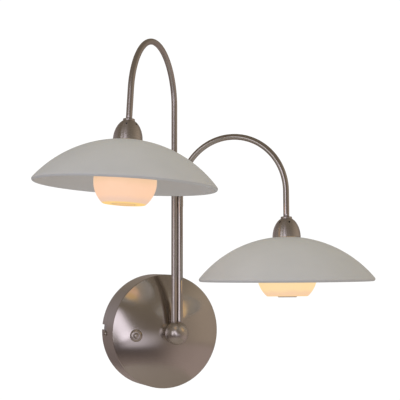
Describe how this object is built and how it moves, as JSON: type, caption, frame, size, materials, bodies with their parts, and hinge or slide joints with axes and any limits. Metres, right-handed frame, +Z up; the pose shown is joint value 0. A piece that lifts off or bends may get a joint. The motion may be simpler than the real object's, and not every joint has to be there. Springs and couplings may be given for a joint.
{
  "type": "double arm wall light",
  "caption": "Wall light with two crooked tube arms of unequal height on a domed round canopy, each carrying a wide glass saucer over a glowing opal cup",
  "frame": {"origin": "centre of the canopy's back edge, in the plane of the wall, midway between the two wall slots", "axes": "+Z up, +X to the viewer's right along the wall, -Y out from the wall into the room"},
  "size_m": [0.454, 0.3152, 0.4677],
  "materials": {
    "brushed_nickel": "satin nickel, brushed round each turned piece and along each tube",
    "zinc_steel": "bright zinc plate",
    "aluminium": "plain turned",
    "brass": "plain stamped",
    "frosted_glass": "acid-etched white glass, satin",
    "left_opal_glass": "opal glass, lit from inside",
    "right_opal_glass": "opal glass, lit from inside",
    "clear_glass": "clear quartz",
    "ceramic": "unglazed steatite",
    "rubber": "soft silicone, matte",
    "black_plastic": "fine matte",
    "white_plastic": "matte",
    "lead_sheath": "smooth sheath",
    "fibre": "vulcanised fibre"
  },
  "bodies": {
    "canopy": {"wall_bracket": "zinc_steel", "canopy_shell": "brushed_nickel", "canopy_side_screws": "brushed_nickel", "transformer": "black_plastic", "transformer_screws": "zinc_steel", "terminal_block": "white_plastic", "terminal_screw": "zinc_steel", "earth_tag": "brass", "earth_screw": "zinc_steel", "switch_body": "black_plastic", "switch_nut": "zinc_steel", "switch_ring": "brushed_nickel", "dome_washer": "zinc_steel", "nipple": "zinc_steel", "nipple_nut": "zinc_steel", "neck_ring": "brushed_nickel", "hub_ball": "brushed_nickel", "ball_plug": "brushed_nickel", "foot_washers": "fibre"},
    "switch_button": {"switch_plunger": "brushed_nickel"},
    "left_arm": {"left_tube": "brushed_nickel", "left_foot_stud": "zinc_steel", "left_foot_ring": "zinc_steel", "left_lead": "lead_sheath", "left_collar": "brushed_nickel", "left_collar_washer": "zinc_steel", "left_collar_nut": "zinc_steel", "left_cap": "brushed_nickel", "left_glass_carrier": "aluminium", "left_lamp_holder": "ceramic", "left_lamp_capsule": "clear_glass", "left_lamp_pins": "zinc_steel", "left_gasket": "rubber", "left_saucer": "frosted_glass", "left_cup": "left_opal_glass"},
    "right_arm": {"right_tube": "brushed_nickel", "right_foot_stud": "zinc_steel", "right_foot_ring": "zinc_steel", "right_lead": "lead_sheath", "right_collar": "brushed_nickel", "right_collar_washer": "zinc_steel", "right_collar_nut": "zinc_steel", "right_cap": "brushed_nickel", "right_glass_carrier": "aluminium", "right_lamp_holder": "ceramic", "right_lamp_capsule": "clear_glass", "right_lamp_pins": "zinc_steel", "right_gasket": "rubber", "right_saucer": "frosted_glass", "right_cup": "right_opal_glass", "right_foot_sleeve": "brushed_nickel", "right_upper_sleeve": "brushed_nickel"}
  },
  "joints": [
    {"name": "left_arm_swivel", "type": "hinge", "parent": "canopy", "child": "left_arm", "pos_m": [-0.0043, -0.081, 0.004], "axis": [0, 0, 1], "range_deg": [-20, 20]},
    {"name": "right_arm_swivel", "type": "hinge", "parent": "canopy", "child": "right_arm", "pos_m": [0.0043, -0.081, 0.004], "axis": [0, 0, 1], "range_deg": [-20, 20]},
    {"name": "switch_push", "type": "slide", "parent": "canopy", "child": "switch_button", "axis": [0.3388, 0.9405, 0.0249], "range_m": [0, 0.0016], "stiffness_N_per_m": 400, "springref_m": -0.002}
  ]
}
